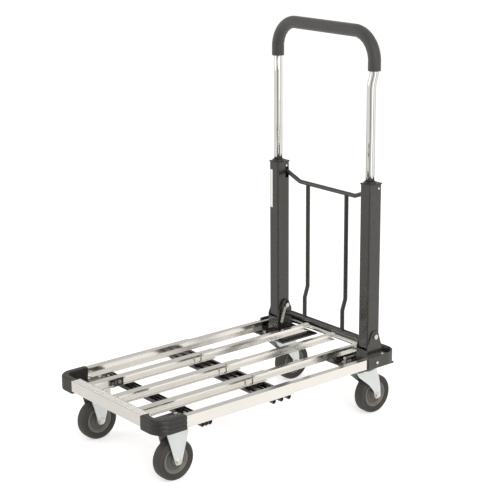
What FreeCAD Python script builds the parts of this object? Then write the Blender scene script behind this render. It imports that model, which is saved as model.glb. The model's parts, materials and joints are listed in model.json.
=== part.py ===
import FreeCAD, Part
import math
import os
import Sketcher

from FreeCAD import Placement, Rotation, Vector

# Folding, extending platform cart. Millimetres, +Z up, floor at Z = 0, +X to the right, front (bumpers) at -Y
# and the folding handle at +Y. The origin is on the floor below the middle of the whole object.

os.makedirs("parts", exist_ok=True)
doc = FreeCAD.newDocument("platform_cart")

# ---------------------------------------------------------------- driving dimensions
sheet = doc.addObject("Spreadsheet::Sheet", "dims")
driving_sizes = {
    # deck frame
    "half_width": 208.0, "deck_top": 169.0, "rail_tall": 28.0, "rail_deep": 17.0, "rail_wall": 1.4,
    "slide_gap": 0.3, "under_rail": 141.0, "front_reach": 379.0, "rail_front": 298.0, "rail_joint": 20.0,
    "rear_rail_front": 290.0, "rear_rail_end": 329.0,
    "inner_pitch": 101.6, "inner_tall": 22.0, "inner_wide": 20.0, "inner_web": 9.0, "inner_end": 341.0,
    "nested_front": 335.0, "nested_wide": 12.4,
    "beam_half": 141.0, "beam_deep": 25.0, "beam_tall": 27.0, "beam_top": 171.0, "rib_deep": 1.0,
    "bumper_half": 210.5, "bumper_top": 171.5, "bumper_tall": 34.5, "bumper_wide": 18.0,
    "corner_round": 38.0, "bumper_gap": 0.6,
    # plates under the rails
    "plate_thick": 4.0, "plate_out": 204.0, "mid_plate_mid": 15.0, "mid_plate_wide": 70.0,
    "front_plate_mid": 240.0, "front_plate_wide": 32.2, "sheet_thick": 2.0, "wave_wide": 12.0,
    "corner_plate_edge": 112.0, "corner_plate_back": 257.0,
    "crossbar_up": 155.5, "crossbar_tall": 4.0, "crossbar_deep": 10.0, "crossbar_half": 191.0,
    "band_half": 210.3, "band_rear": 368.0, "band_top": 172.0, "band_tall": 31.0, "band_thick": 4.0,
    "band_front": 264.0, "band_dip": 12.0, "band_dip_half": 118.0, "band_dip_slope": 28.0,
    # handle
    "pivot_back": 304.0, "pivot_up": 215.0, "post_out": 171.0, "post_back": 300.0, "post_wide": 34.0,
    "post_deep": 40.0, "post_wall": 1.8, "post_foot": 183.5, "post_head": 603.0, "post_round": 4.0,
    "cap_thick": 3.0, "cap_lip": 1.5, "collar_radius": 15.0, "collar_tall": 4.5,
    "tube_back": 296.0, "tube_radius": 11.0, "tube_wall": 1.5, "tube_foot": 470.0, "tube_slip": 0.2,
    "bar_up": 970.0, "bend_radius": 68.0, "grip_radius": 16.0, "grip_foot": 880.0, "splay": 5.0, "lean": 4.0,
    "set_low": 846.0, "set_high": 874.0, "foot_guide_radius": 13.9, "foot_guide_tall": 16.0, "plug_tall": 20.0,
    "ear_thick": 2.5, "ear_gap": 0.3, "pivot_radius": 4.0,
    # release rack
    "rod_radius": 5.5, "rack_back": 312.0, "rod_out": 72.0, "rack_cross": 559.0, "rack_end": 579.0,
    "rack_bend": 103.0, "rod_foot_back": 302.0, "bar_radius": 7.0, "release_up": 197.0,
    # casters
    "wheel_radius": 50.0, "wheel_wide": 30.0, "hub_radius": 33.5, "wheel_out": 156.0,
    "front_axle": 301.0, "rear_swivel": 290.0, "caster_trail": 39.0, "fork_half": 19.5, "fork_thick": 2.5,
    "axle_radius": 4.0, "caster_top": 137.0,
}
for row, (alias, value) in enumerate(driving_sizes.items(), start=1):
    sheet.set("A%d" % row, alias.replace("_", " "))
    sheet.set("B%d" % row, str(value))
    sheet.setAlias("B%d" % row, alias)
doc.recompute()

TINY = 1e-6  # lengths closer than this are the same
finished = []  # every sub-part, in the order it is written
SIDES = {"right": 1, "left": -1}
RAIL_PLACES = {"left": "-dims.inner_pitch", "center": "0 * dims.inner_pitch", "right": "dims.inner_pitch"}


def size(alias):
    """Value of one driving dimension."""
    return float(sheet.get(alias))


def keep(name, obj):
    """Marks an object as a finished sub-part under its own name."""
    obj.Label = name
    finished.append(obj)
    return obj


def text(value):
    """A plain number as an expression in millimetres."""
    return "%s + 0 * dims.rail_wall" % value


def numbers(corners):
    """Corners given as plain numbers or as expressions, all as expressions."""
    return [tuple(value if isinstance(value, str) else text(value) for value in corner) for corner in corners]


def place(obj, x, y, z):
    """Binds an object's position to expressions."""
    for axis, formula in zip("xyz", (x, y, z)):
        obj.setExpression("Placement.Base." + axis, formula)


def box(x, y, z, along_x, along_y, along_z):
    """Block from its lowest corner, every size an expression."""
    obj = doc.addObject("Part::Box", "block")
    for prop, formula in (("Length", along_x), ("Width", along_y), ("Height", along_z)):
        obj.setExpression(prop, formula)
    place(obj, x, y, z)
    return obj


TURNS = {"x": Rotation(Vector(0, 1, 0), 90), "y": Rotation(Vector(1, 0, 0), -90), "z": Rotation()}


def rod(radius, length, x, y, z, axis="z"):
    """Round bar that starts at x, y, z and runs along +axis."""
    obj = doc.addObject("Part::Cylinder", "round")
    obj.setExpression("Radius", radius)
    obj.setExpression("Height", length)
    obj.Placement = Placement(Vector(), TURNS[axis])
    place(obj, x, y, z)
    return obj


def hexagon(across, length, x, y, z, axis="z"):
    """Hexagonal prism for bolt heads and nuts."""
    obj = doc.addObject("Part::Prism", "hexagon")
    obj.Polygon = 6
    obj.setExpression("Circumradius", across)
    obj.setExpression("Height", length)
    obj.Placement = Placement(Vector(), TURNS[axis])
    place(obj, x, y, z)
    return obj


def join(pieces):
    """One solid from overlapping or touching pieces."""
    obj = doc.addObject("Part::MultiFuse", "joined")
    obj.Shapes = pieces
    return obj


def cut(base, tools):
    """Base with every tool taken out of it."""
    obj = doc.addObject("Part::Cut", "cut")
    obj.Base = base
    obj.Tool = tools[0] if len(tools) == 1 else join(tools)
    return obj


def group(pieces):
    """Several separate solids of one sub-part."""
    obj = doc.addObject("Part::Compound", "set")
    obj.Links = pieces
    return obj


def mirrored(source):
    """The left-hand copy of a right-hand piece."""
    obj = doc.addObject("Part::Mirroring", "mirror")
    obj.Source = source
    obj.Base = Vector(0, 0, 0)
    obj.Normal = Vector(1, 0, 0)
    return obj


def keep_pair(name, source):
    """Keeps a right-hand piece and its left-hand copy."""
    keep(name + "_right", source)
    keep(name + "_left", mirrored(source))


def origin_plane(body, role):
    """One of a body's own origin planes."""
    return next(plane for plane in body.Origin.OriginFeatures if plane.Role == role)


def polygon_sketch(body, name, role, corners):
    """Closed straight-sided sketch; each corner is a pair of expressions."""
    sketch = body.newObject("Sketcher::SketchObject", name)
    sketch.AttachmentSupport = [(origin_plane(body, role), "")]
    sketch.MapMode = "FlatFace"
    points = [Vector(float(sheet.evalExpression(a)), float(sheet.evalExpression(b)), 0) for a, b in corners]
    for start, end in zip(points, points[1:] + points[:1]):
        sketch.addGeometry(Part.LineSegment(start, end))
    count = len(points)
    for line in range(count):
        sketch.addConstraint(Sketcher.Constraint("Coincident", line, 2, (line + 1) % count, 1))
    for line, (a, b) in enumerate(corners):
        for kind, formula, value in (("DistanceX", a, points[line].x), ("DistanceY", b, points[line].y)):
            index = sketch.addConstraint(Sketcher.Constraint(kind, -1, 1, line, 1, value))
            sketch.setExpression("Constraints[%d]" % index, formula)
    return sketch


def padded_body(name, role, corners, length, shift):
    """Body padded from a straight-sided sketch; shift is its position as three expressions."""
    body = doc.addObject("PartDesign::Body", name)
    sketch = polygon_sketch(body, name + "_sketch", role, corners)
    pad = body.newObject("PartDesign::Pad", name + "_pad")
    pad.Profile = sketch
    pad.setExpression("Length", length)
    pad.Reversed = role == "XZ_Plane"
    place(body, *shift)
    return body


def turned_body(name, corners, shift):
    """Body turned about the X axis from a sketch of (X, radius) corners."""
    body = doc.addObject("PartDesign::Body", name)
    sketch = polygon_sketch(body, name + "_sketch", "XY_Plane", corners)
    turn = body.newObject("PartDesign::Revolution", name + "_turn")
    turn.Profile = sketch
    turn.ReferenceAxis = (origin_plane(body, "X_Axis"), [""])
    turn.Angle = 360
    place(body, *shift)
    return body


def channel_corners(web, opening, low, high, wall, inward="+"):
    """C section: web at one side, open at the other; inward is the sign from web to opening along X."""
    inner = "%s %s %s" % (web, inward, wall)
    return [
        (web, low), (web, high), (opening, high), (opening, "%s - %s" % (high, wall)),
        (inner, "%s - %s" % (high, wall)), (inner, "%s + %s" % (low, wall)),
        (opening, "%s + %s" % (low, wall)), (opening, low),
    ]


# ---------------------------------------------------------------- rails
def outer_rails():
    """Front rails carry the rear rails inside them; both are C channels that open inwards."""
    front = padded_body(
        "front_outer_rail", "XZ_Plane",
        channel_corners("dims.half_width", "dims.half_width - dims.rail_deep", "dims.under_rail",
                        "dims.under_rail + dims.rail_tall", "dims.rail_wall", "-"),
        "dims.rail_front + dims.rail_joint", ("0 * dims.rail_wall", "-dims.rail_front", "0 * dims.rail_wall"))
    rear = padded_body(
        "rear_outer_rail", "XZ_Plane",
        channel_corners("dims.half_width - dims.rail_wall - dims.slide_gap", "dims.half_width - dims.rail_deep",
                        "dims.under_rail + dims.rail_wall + dims.slide_gap",
                        "dims.under_rail + dims.rail_tall - dims.rail_wall - dims.slide_gap", "dims.rail_wall", "-"),
        "dims.rear_rail_front + dims.rear_rail_end",
        ("0 * dims.rail_wall", "-dims.rear_rail_front", "0 * dims.rail_wall"))
    keep_pair("front_outer_rail", front)
    keep_pair("rear_outer_rail", rear)


def inner_rails():
    """Three slats: each front channel holds a smaller rear channel; all open towards +X."""
    low = "dims.deck_top - dims.inner_tall"
    for side, middle in RAIL_PLACES.items():
        web = "%s - dims.inner_web" % middle
        front = padded_body(
            "front_inner_rail_" + side, "XZ_Plane",
            channel_corners(web, web + " + dims.inner_wide", low, "dims.deck_top", "dims.rail_wall"),
            "dims.front_reach - dims.beam_deep + dims.rail_joint",
            ("0 * dims.rail_wall", "-(dims.front_reach - dims.beam_deep)", "0 * dims.rail_wall"))
        inset = "dims.rail_wall + dims.slide_gap"
        nested_web = web + " + " + inset
        rear = padded_body(
            "rear_inner_rail_" + side, "XZ_Plane",
            channel_corners(nested_web, nested_web + " + dims.nested_wide", low + " + " + inset,
                            "dims.deck_top - (" + inset + ")", "dims.rail_wall"),
            "dims.nested_front + dims.inner_end",
            ("0 * dims.rail_wall", "-dims.nested_front", "0 * dims.rail_wall"))
        front.Label = "front_inner_rail_" + side
        rear.Label = "rear_inner_rail_" + side
        finished.extend([front, rear])


# ---------------------------------------------------------------- front end
def front_beam():
    """Hollow aluminium beam with lengthwise ribs on its top face."""
    span = "2 * dims.beam_half"
    low = "dims.beam_top - dims.beam_tall"
    wall = "dims.rail_wall * 1.5"
    past = "-dims.beam_half - 1"  # cutting tools run 1 mm past both ends
    outer = box("-dims.beam_half", "-dims.front_reach", low, span, "dims.beam_deep", "dims.beam_tall")
    hollow = box(past, "-dims.front_reach + " + wall, low + " + " + wall, span + " + 2",
                 "dims.beam_deep - 2 * " + wall, "dims.beam_tall - 2 * " + wall)
    groove_starts, groove_wide = ("0.16", "0.36", "0.56", "0.76"), "0.08"  # as parts of the beam's depth
    grooves = [
        box(past, "-dims.front_reach + dims.beam_deep * " + start, "dims.beam_top - dims.rib_deep",
            span + " + 2", "dims.beam_deep * " + groove_wide, "dims.rib_deep + 1")
        for start in groove_starts
    ]
    keep("front_beam", cut(outer, [hollow] + grooves))


def is_corner(edge, x, y):
    """True for an upright edge at x, y."""
    ends = (edge.Vertexes[0], edge.Vertexes[-1])
    return all(abs(end.X - x) < TINY and abs(end.Y - y) < TINY for end in ends)


def corner_band(half, reach, thick, low, high, side_end, back_end, round_radius):
    """Upright band round one right-hand corner: along +X to the corner, round it, then back along the side."""
    outer = Part.makeBox(half - back_end, side_end, high - low, Vector(back_end, reach, low))
    outer = outer.makeFillet(round_radius, [edge for edge in outer.Edges if is_corner(edge, half, reach)])
    inner = Part.makeBox(half - back_end, side_end, high - low + 2, Vector(back_end - thick, reach + thick, low - 1))
    inner = inner.makeFillet(round_radius - thick, [
        edge for edge in inner.Edges if is_corner(edge, half - thick, reach + thick)])
    return outer.cut(inner)


def shape_part(shape):
    """Sub-part whose shape comes straight from Part's functions."""
    obj = doc.addObject("Part::Feature", "shape")
    obj.Shape = shape.removeSplitter() if len(shape.Solids) == 1 else shape
    obj.Placement = Placement()
    return obj


def corner_bumpers():
    """Moulded corner pieces with two grooves round their outside, plugged into the beam and the rail."""
    proud = 0.5  # the bumper stands this far in front of the beam
    low, tall = size("bumper_top") - size("bumper_tall"), size("bumper_tall")
    reach = -size("front_reach") - proud
    body = corner_band(size("bumper_half"), reach, size("bumper_wide"), low, size("bumper_top"),
                       -size("rail_front") - size("bumper_gap") - reach, size("beam_half") + size("bumper_gap"),
                       size("corner_round"))
    groove_deep, groove_tall, groove_levels = 1.6, 3.2, (0.36, 0.66)
    groove_side, past_end = 120, 10  # the groove tool runs past the bumper's two ends
    for part in groove_levels:
        level = low + tall * part
        body = body.cut(corner_band(size("bumper_half") + 1, reach - 1, groove_deep + 1, level, level + groove_tall,
                                    groove_side, size("beam_half") - past_end, size("corner_round") + 1))
    keep_pair("corner_bumper", shape_part(body))


def wavy_plate(name, middle, wide):
    """Pressed steel cross plate under the rails: a flat sheet with three round waves hanging below it."""
    half = "(dims.half_width - dims.plate_thick)"
    top, span = "dims.under_rail", "2 * " + half
    level = top + " - dims.wave_wide / 2"
    radius = "dims.wave_wide / 2"
    past = "-" + half + " - 1"  # cutting tools run 1 mm past both ends
    pieces = [box("-" + half, middle + " - " + wide + " / 2", top + " - dims.sheet_thick", span, wide,
                  "dims.sheet_thick")]
    slots = []
    for step in (-1, 0, 1):
        centre = "%s + %d * %s / 3" % (middle, step, wide)
        pieces.append(rod(radius, span, "-" + half, centre, level, "x"))
        pieces.append(box("-" + half, centre + " - " + radius, level, span, "dims.wave_wide",
                          radius + " - dims.sheet_thick / 2"))
        slots.append(rod(radius + " - dims.sheet_thick", span + " + 2", past, centre, level, "x"))
        slots.append(box(past, centre + " - " + radius + " + dims.sheet_thick", level, span + " + 2",
                         "dims.wave_wide - 2 * dims.sheet_thick", radius + " + 1"))
    pad_part = 0.55  # each slat stands on a pad this part of the plate's width
    pads = [box(rail + " - dims.inner_web", "%s - %s * %s" % (middle, pad_part / 2, wide),
                top + " - dims.sheet_thick / 2", "dims.inner_wide", "%s * %s" % (pad_part, wide),
                "dims.deck_top - dims.inner_tall - " + top + " + dims.sheet_thick / 2")
            for rail in RAIL_PLACES.values()]
    keep(name, join([cut(join(pieces), slots)] + pads))


def front_plates():
    """Cross plates and corner plates of the front half."""
    wavy_plate("middle_cross_plate", "-dims.mid_plate_mid", "dims.mid_plate_wide")
    wavy_plate("front_cross_plate", "-dims.front_plate_mid", "dims.front_plate_wide")
    inside = size("bumper_half") - size("bumper_wide") - size("bumper_gap") / 2
    front = -size("front_reach") + size("bumper_wide")
    bend = size("corner_round") - size("bumper_wide")
    chord = bend * (1 - math.sqrt(0.5)) + size("bumper_gap") / 2  # the cut corner clears the bumper's inside bend
    edge, back = size("corner_plate_edge"), -size("corner_plate_back")
    corners = [(edge, front), (inside - bend, front), (inside - chord, front + chord), (inside, front + bend),
               (inside, back), (edge, back)]
    keep_pair("front_corner_plate", padded_body(
        "front_corner_plate", "XY_Plane", numbers(corners), "dims.plate_thick",
        (text(0), text(0), "dims.under_rail - dims.plate_thick")))


def centred(x, y, z, along_x, along_y, along_z):
    """Block of plain numbers, centred on x and y, standing on z."""
    return box(text(x - along_x / 2), text(y - along_y / 2), text(z), text(along_x), text(along_y), text(along_z))


def bent_rod(points, radius, bend):
    """Round bar along straight runs joined by tangent arcs of one bend radius."""
    corners = [Vector(*point) for point in points]
    edges = []
    start = corners[0]
    for before, corner, after in zip(corners, corners[1:], corners[2:]):
        to_before = (before - corner).normalize()
        to_after = (after - corner).normalize()
        half_turn = to_before.getAngle(to_after) / 2
        reach = bend / math.tan(half_turn)
        middle = (to_before + to_after).normalize()
        centre = corner + middle * (bend / math.sin(half_turn))
        arc_start, arc_end = corner + to_before * reach, corner + to_after * reach
        edges.append(Part.LineSegment(start, arc_start).toShape())
        edges.append(Part.Arc(arc_start, centre - middle * bend, arc_end).toShape())
        start = arc_end
    edges.append(Part.LineSegment(start, corners[-1]).toShape())
    path = Part.Wire(edges)
    ring = Part.Wire(Part.makeCircle(radius, corners[0], corners[1] - corners[0]))
    return path.makePipeShell([ring], True, True)


def upright_plate(name, corners, x, thick):
    """Flat plate standing in the YZ plane, padded towards +X from x."""
    return padded_body(name, "YZ_Plane", numbers(corners), text(thick), (text(x), text(0), text(0)))


def both_sides(right):
    """A right-hand piece and its left-hand copy as one sub-part's solids."""
    return group([right, mirrored(right)])


# ---------------------------------------------------------------- rear end
def rear_band():
    """Flat band round the back of the deck, lower in the middle, with sloped ends to the dip."""
    half, back, thick, front = size("band_half"), size("band_rear"), size("band_thick"), size("band_front")
    bend, tall = size("corner_round"), size("band_tall")
    low = size("band_top") - tall
    block = Part.makeBox(2 * half, back - front, tall, Vector(-half, front, low))
    hollow = Part.makeBox(2 * (half - thick), back - thick - front + 1, tall + 2,
                          Vector(-half + thick, front - 1, low - 1))

    def round_back(shape, side, rear, radius):
        edges = [edge for edge in shape.Edges if is_corner(edge, side, rear) or is_corner(edge, -side, rear)]
        return shape.makeFillet(radius, edges)

    band = round_back(block, half, back, bend).cut(round_back(hollow, half - thick, back - thick, bend - thick))
    dip_half, dip_top = size("band_dip_half"), size("band_top")
    dip_low, slope = dip_top - size("band_dip"), size("band_dip_slope")
    corners = [(-dip_half - slope, dip_top + 1), (-dip_half, dip_low), (dip_half, dip_low),
               (dip_half + slope, dip_top + 1), (-dip_half - slope, dip_top + 1)]
    before, through = 20, 30  # the dip is cut from inside the band right through its back
    dip = Part.Face(Part.makePolygon([Vector(x, back - before, z) for x, z in corners]))
    keep("rear_band", shape_part(band.cut(dip.extrude(Vector(0, through, 0)))))


def rear_frame():
    """Cross bar, and the corner plates that carry the rear casters and the handle."""
    keep("rear_crossbar", box("-dims.crossbar_half", "dims.inner_end", "dims.crossbar_up", "2 * dims.crossbar_half",
                              "dims.crossbar_deep", "dims.crossbar_tall"))

    top = size("under_rail")
    inner, front, long = 84, 236, 122
    plate = box(text(inner), text(front), "dims.under_rail - dims.plate_thick", "dims.plate_out - %s" % inner,
                text(long), "dims.plate_thick")
    stop_lug = centred(130, 292, top, 20, 3, 17)
    slat_pad_tall = size("deck_top") - size("inner_tall") + size("rail_wall") + size("slide_gap") - top
    slat_pad = centred(100.5, 290, top, 12, 80, slat_pad_tall)
    rail_pad = centred(198, 285.5, top, 12, 86, size("rail_wall") + size("slide_gap"))
    bar_stand = centred(184, size("inner_end") + size("crossbar_deep") / 2, top, 14, size("crossbar_deep"),
                        size("crossbar_up") - top)
    keep("rear_corner_plates", both_sides(join([plate, stop_lug, slat_pad, rail_pad, bar_stand])))


# (Y, Z) outline of a bracket ear
EAR = [(277.5, 141), (277.5, 189), (292.5, 226), (298, 229.5), (309, 229.5), (314, 226), (326, 189), (326, 141)]
# front wall and floor of a bracket: thickness, middle of each in Y, length of the floor
BRACKET = {"sheet": 2.5, "wall_mid": 278.75, "floor_mid": 301.75, "floor_long": 48.5, "below_post": 1.0}
PIVOT_BOLT = {"inner_end": 144.0, "head": 7.0, "head_tall": 4.0, "nut": 6.5, "nut_tall": 3.5, "nut_from": 142.5}


def brackets():
    """Foot brackets: front wall, floor and two ears that hold the pivot bolt."""
    low, use = size("under_rail"), BRACKET
    inner = size("post_out") - size("post_wide") / 2 - size("ear_gap") - size("ear_thick")
    outer = size("post_out") + size("post_wide") / 2 + size("ear_gap")
    wide = outer + size("ear_thick") - inner
    middle = inner + wide / 2
    ears = [upright_plate("outer_ear", EAR, outer, size("ear_thick")),
            upright_plate("inner_ear", EAR, inner, size("ear_thick"))]
    wall = centred(middle, use["wall_mid"], low, wide, use["sheet"], size("post_foot") - use["below_post"] - low)
    floor = centred(middle, use["floor_mid"], low, wide, use["floor_long"], use["sheet"])
    hole = rod("dims.pivot_radius", text(wide + 40), text(inner - 20), "dims.pivot_back", "dims.pivot_up", "x")
    keep_pair("foot_bracket", cut(join(ears + [wall, floor]), [hole]))

    bolt, end = PIVOT_BOLT, outer + size("ear_thick")
    shank = rod("dims.pivot_radius", text(end - bolt["inner_end"]), text(bolt["inner_end"]), "dims.pivot_back",
                "dims.pivot_up", "x")
    head = hexagon(text(bolt["head"]), text(bolt["head_tall"]), text(end), "dims.pivot_back", "dims.pivot_up", "x")
    nut = hexagon(text(bolt["nut"]), text(bolt["nut_tall"]), text(bolt["nut_from"]), "dims.pivot_back",
                  "dims.pivot_up", "x")
    keep("pivot_bolts", both_sides(join([shank, head, nut])))


# ---------------------------------------------------------------- handle
def upright_edges(shape):
    """Names of a shape's straight edges that run along Z."""
    names = []
    for number, edge in enumerate(shape.Edges, start=1):
        start, end = edge.Vertexes[0].Point, edge.Vertexes[-1].Point
        if abs(start.x - end.x) < TINY and abs(start.y - end.y) < TINY:
            names.append("Edge%d" % number)
    return names


def rounded_bar(name, half_x, half_y, length, round_by, x, y, z):
    """Upright bar with rounded corners, centred on x and y."""
    body = doc.addObject("PartDesign::Body", name)
    corners = [("-(%s)" % half_x, "-(%s)" % half_y), (half_x, "-(%s)" % half_y), (half_x, half_y),
               ("-(%s)" % half_x, half_y)]
    sketch = polygon_sketch(body, name + "_sketch", "XY_Plane", corners)
    pad = body.newObject("PartDesign::Pad", name + "_pad")
    pad.Profile = sketch
    pad.setExpression("Length", length)
    doc.recompute()
    fillet = body.newObject("PartDesign::Fillet", name + "_fillet")
    fillet.Base = (pad, upright_edges(pad.Shape))
    fillet.setExpression("Radius", round_by)
    place(body, x, y, z)
    return body


# slot for the rack's end, the cut at the foot, the guide below the cap, the rivets and the label
POST = {"pivot_play": 0.05, "slot_at": 155.0, "slot_wide": 12.0, "slot_low": 561.0, "slot_tall": 28.0,
        "guide_tall": 14.5, "rivet": 3.0, "rivet_tall": 1.6, "rivet_back": 309.0, "rivet_up": 593.5,
        "label_at": -179.5, "label_low": 482.0, "label_wide": 9.0, "label_thick": 0.4, "label_tall": 101.0}
FOOT_CUT = [(279, 182), (279, 188.5), (285.5, 182)]


def posts():
    """Rectangular tube posts; the foot's front edge is cut back so that it can swing inside the bracket."""
    use = POST
    tall = "dims.post_head - dims.post_foot"
    half_wide, half_deep = "dims.post_wide / 2", "dims.post_deep / 2"
    inner_half_wide, inner_half_deep = half_wide + " - dims.post_wall", half_deep + " - dims.post_wall"
    inner_round = "dims.post_round - dims.post_wall"
    outer = rounded_bar("post_outer", half_wide, half_deep, tall, "dims.post_round", "dims.post_out",
                        "dims.post_back", "dims.post_foot")
    inner = rounded_bar("post_inner", inner_half_wide, inner_half_deep, tall + " + 2", inner_round,
                        "dims.post_out", "dims.post_back", "dims.post_foot - 1")
    through = size("post_wide") + 20  # tools that cross the whole post start 10 mm before it
    before = size("post_out") - through / 2
    pivot = rod("dims.pivot_radius + %s" % use["pivot_play"], text(through), text(before), "dims.pivot_back",
                "dims.pivot_up", "x")
    slot = centred(use["slot_at"], size("rack_back"), use["slot_low"], use["slot_wide"], use["slot_wide"],
                   use["slot_tall"])
    corner = upright_plate("foot_cut", FOOT_CUT, before, through)
    keep_pair("post", cut(outer, [inner, pivot, slot, corner]))

    tube_hole = rod("dims.tube_radius + dims.tube_slip", text(40), "dims.post_out", "dims.tube_back",
                    "dims.post_head - 20", "z")
    lid = rounded_bar("cap_plate", half_wide + " + dims.cap_lip", half_deep + " + dims.cap_lip", "dims.cap_thick",
                      "dims.post_round", "dims.post_out", "dims.post_back", "dims.post_head")
    collar = rod("dims.collar_radius", "dims.collar_tall", "dims.post_out", "dims.tube_back",
                 "dims.post_head + dims.cap_thick")
    keep("post_caps", both_sides(cut(join([lid, collar]), [tube_hole])))

    guide = rounded_bar("guide_block", inner_half_wide, inner_half_deep, text(use["guide_tall"]), inner_round,
                        "dims.post_out", "dims.post_back", "dims.post_head - %s" % use["guide_tall"])
    keep("tube_guides", both_sides(cut(guide, [tube_hole])))

    starts = (size("post_out") + size("post_wide") / 2,
              size("post_out") - size("post_wide") / 2 - use["rivet_tall"])
    rivets = [rod(text(use["rivet"]), text(use["rivet_tall"]), text(start), text(use["rivet_back"]),
                  text(use["rivet_up"]), "x") for start in starts]
    keep("cap_rivets", group(rivets + [mirrored(rivet) for rivet in rivets]))
    keep("blank_label", centred(use["label_at"], size("post_back") - (size("post_deep") + use["label_thick"]) / 2,
                                use["label_low"], use["label_wide"], use["label_thick"], use["label_tall"]))


def tube_path(foot):
    """Edges of the handle's U from one foot over the top to the other, with a small outward set below the grip."""
    out, back = size("post_out"), size("tube_back")
    wide, rear = out + size("splay"), back + size("lean")
    top, bend = size("bar_up"), size("bend_radius")
    set_low, set_high = size("set_low"), size("set_high")
    edges = []

    def leg(sign):
        low = Vector(sign * out, back, min(foot, set_low))
        start = Vector(sign * out, back, set_low)
        end = Vector(sign * wide, rear, set_high)
        middle = (start + end) * 0.5
        offset = Vector(end.x - start.x, end.y - start.y, 0)
        across = offset.Length / 2
        rise = (set_high - set_low) / 2
        radius = (rise * rise + across * across) / (2 * across)
        sideways = Vector(offset).normalize()
        half = math.asin(rise / radius) / 2
        first = start + sideways * radius * (1 - math.cos(half)) + Vector(0, 0, radius * math.sin(half))
        second = end - sideways * radius * (1 - math.cos(half)) - Vector(0, 0, radius * math.sin(half))
        return low, start, first, middle, second, end

    low, start, first, middle, second, end = leg(-1)
    if foot < set_low:
        edges += [Part.LineSegment(low, start), Part.Arc(start, first, middle), Part.Arc(middle, second, end)]
        begin = end
    else:
        begin = Vector(-wide, rear, foot)
    turn = math.sin(math.pi / 4)
    edges.append(Part.LineSegment(begin, Vector(-wide, rear, top - bend)))
    edges.append(Part.Arc(Vector(-wide, rear, top - bend),
                          Vector(-wide + bend * (1 - turn), rear, top - bend * (1 - turn)),
                          Vector(-wide + bend, rear, top)))
    edges.append(Part.LineSegment(Vector(-wide + bend, rear, top), Vector(wide - bend, rear, top)))
    edges.append(Part.Arc(Vector(wide - bend, rear, top),
                          Vector(wide - bend * (1 - turn), rear, top - bend * (1 - turn)),
                          Vector(wide, rear, top - bend)))
    low, start, first, middle, second, end = leg(1)
    if foot < set_low:
        edges.append(Part.LineSegment(Vector(wide, rear, top - bend), end))
        edges += [Part.Arc(end, second, middle), Part.Arc(middle, first, start), Part.LineSegment(start, low)]
    else:
        edges.append(Part.LineSegment(Vector(wide, rear, top - bend), Vector(wide, rear, foot)))
    return Part.Wire([edge.toShape() for edge in edges])


def sweep(path, radius):
    """Round solid along a path that starts upwards."""
    ring = Part.Wire(Part.makeCircle(radius, path.OrderedVertexes[0].Point, Vector(0, 0, 1)))
    return path.makePipeShell([ring], True, True)


def grip_handle():
    """Chrome U tube with its foam grip and the plastic guides on its two feet."""
    path = tube_path(size("tube_foot"))
    outer = sweep(path, size("tube_radius"))
    inner = sweep(path, size("tube_radius") - size("tube_wall"))
    keep("handle_tube", shape_part(outer.cut(inner)))
    grip_path = tube_path(size("grip_foot"))
    foam = sweep(grip_path, size("grip_radius")).cut(sweep(grip_path, size("tube_radius")))
    keep("foam_grip", shape_part(foam))
    guide = join([rod("dims.foot_guide_radius", "dims.foot_guide_tall", "dims.post_out", "dims.tube_back",
                      "dims.tube_foot - dims.foot_guide_tall"),
                  rod("dims.tube_radius - dims.tube_wall", "dims.plug_tall", "dims.post_out", "dims.tube_back",
                      "dims.tube_foot - 1")])
    keep("tube_foot_guides", both_sides(guide))


# ---------------------------------------------------------------- release rack
# (Y, Z) outline of the arm beside each foot bracket
ARM = [(284, 176), (293, 168), (299, 172), (305, 186), (317, 188), (322, 194), (322, 206), (317, 214), (313, 226),
       (307, 230), (298, 229), (292, 222), (287, 205)]
# where the rack's rods step back to the bar, the foot bar's own ends and bends, and the arms' slot for the pivot
RACK = {"rod_bend": 14.0, "in_slot": 4.0, "step_high": 284.0, "step_low": 255.0, "rod_into_bar": 6.0,
        "arm_at": 147.6, "arm_thick": 2.8, "bar_end_at": 148.6, "bar_end_back": 294.0, "bar_turn_at": 126.0,
        "bar_back": 305.0, "bar_bend": 24.0, "slot_half": 4.5, "slot_tall": 18.0}
SPRING = {"top": (-137.5, 293, 218), "bottom": (-137.5, 277, 170), "outside": 4.2, "inside": 2.9}


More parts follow.
